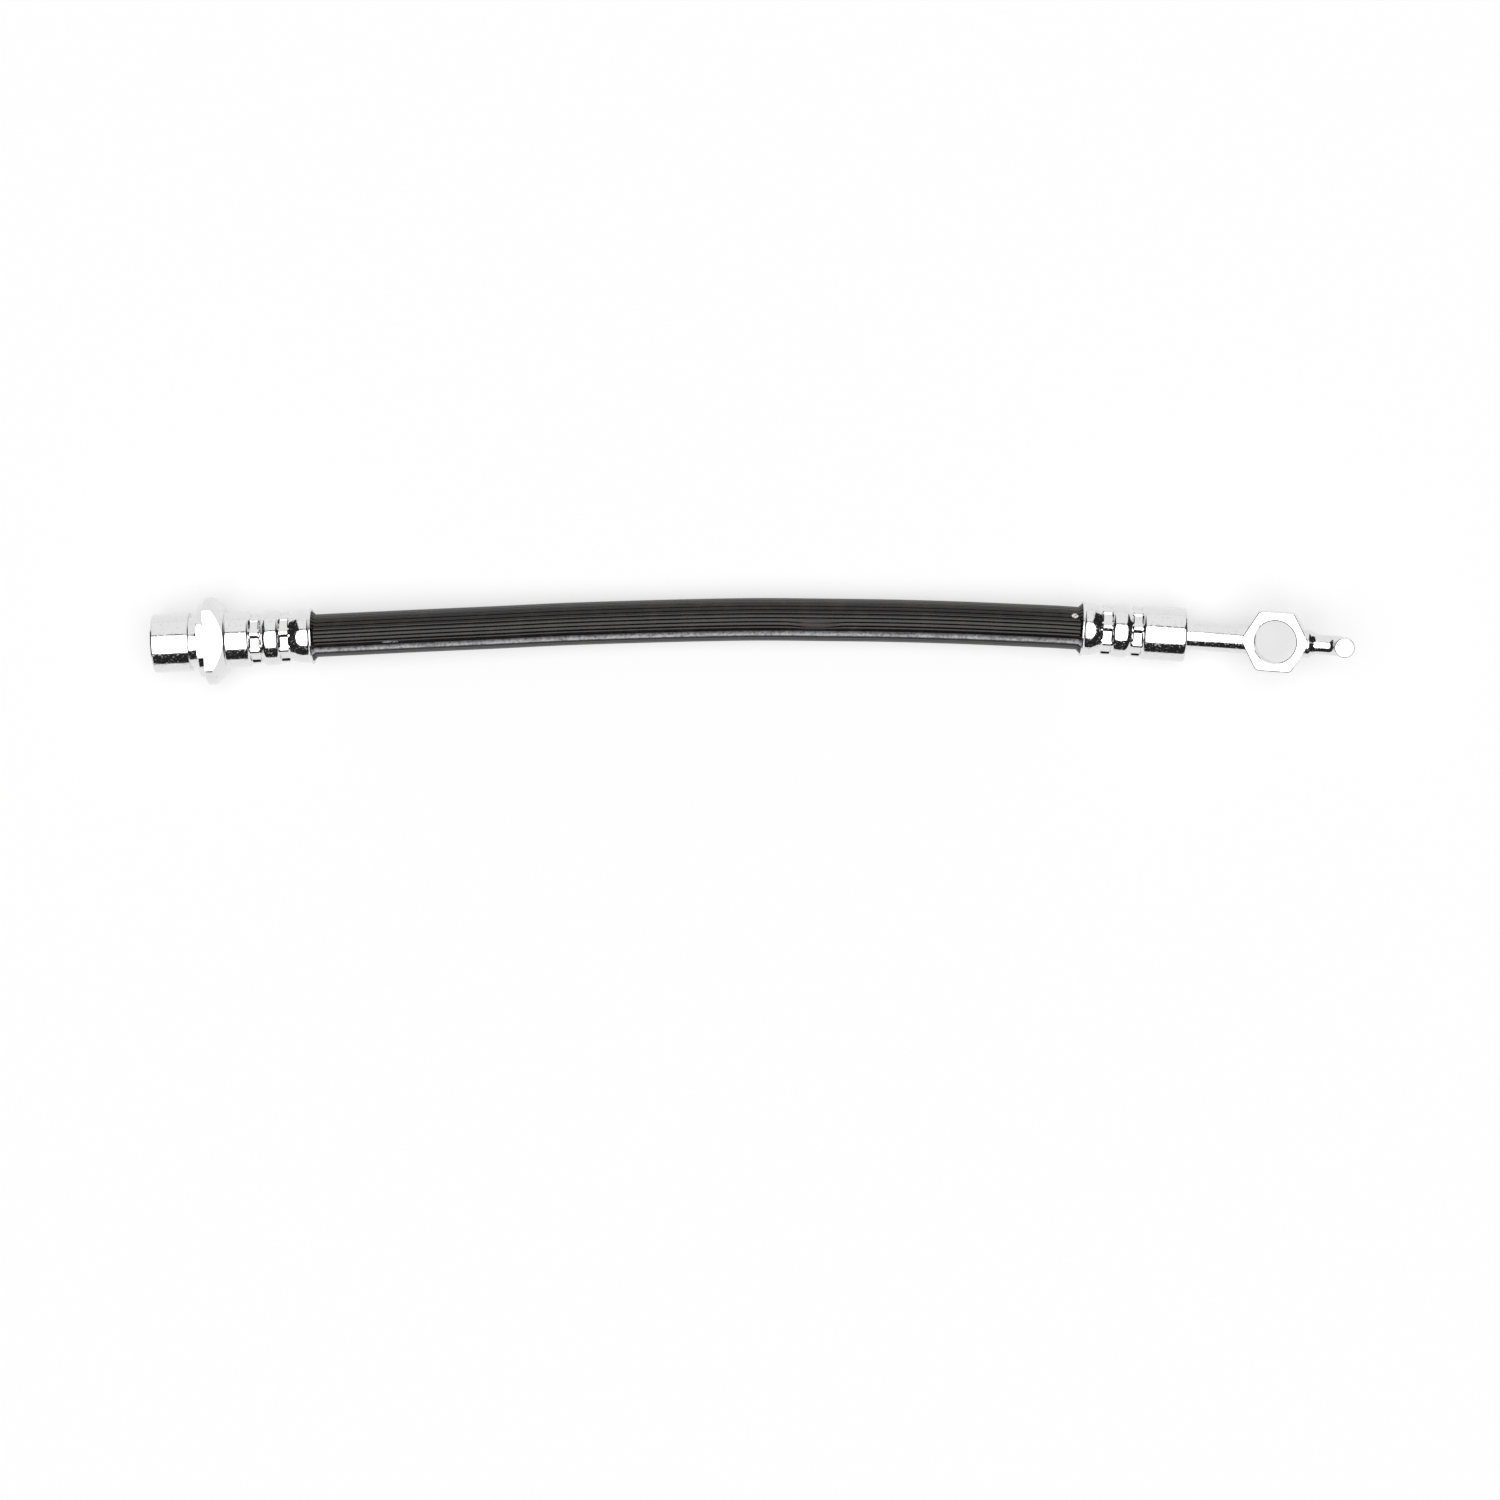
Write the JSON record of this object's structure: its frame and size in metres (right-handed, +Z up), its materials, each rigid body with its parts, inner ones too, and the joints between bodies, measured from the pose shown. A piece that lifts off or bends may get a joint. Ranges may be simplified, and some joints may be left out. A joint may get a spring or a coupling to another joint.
{
  "type": "brake hose",
  "caption": "Flexible rubber brake hose with a crimped female port fitting with a flange at one end and a crimped banjo eye with a locating pin at the other.",
  "frame": {"origin": "bottom centre of the two fittings' box, on the surface that the hose lies on", "axes": "+X along the hose from the female port to the banjo, +Z up"},
  "size_m": [0.2871, 0.0213, 0.0227],
  "materials": {
    "zinc": "bright zinc plate, smooth, slightly mottled",
    "rubber": "fine lengthwise ribs, satin, with one smooth stripe"
  },
  "bodies": {
    "root": {"hose": "rubber", "female_end_body": "zinc", "female_end_insert": "zinc", "banjo_shell": "zinc", "banjo_stem": "zinc", "banjo_eye": "zinc", "locating_pin": "zinc"}
  },
  "joints": []
}
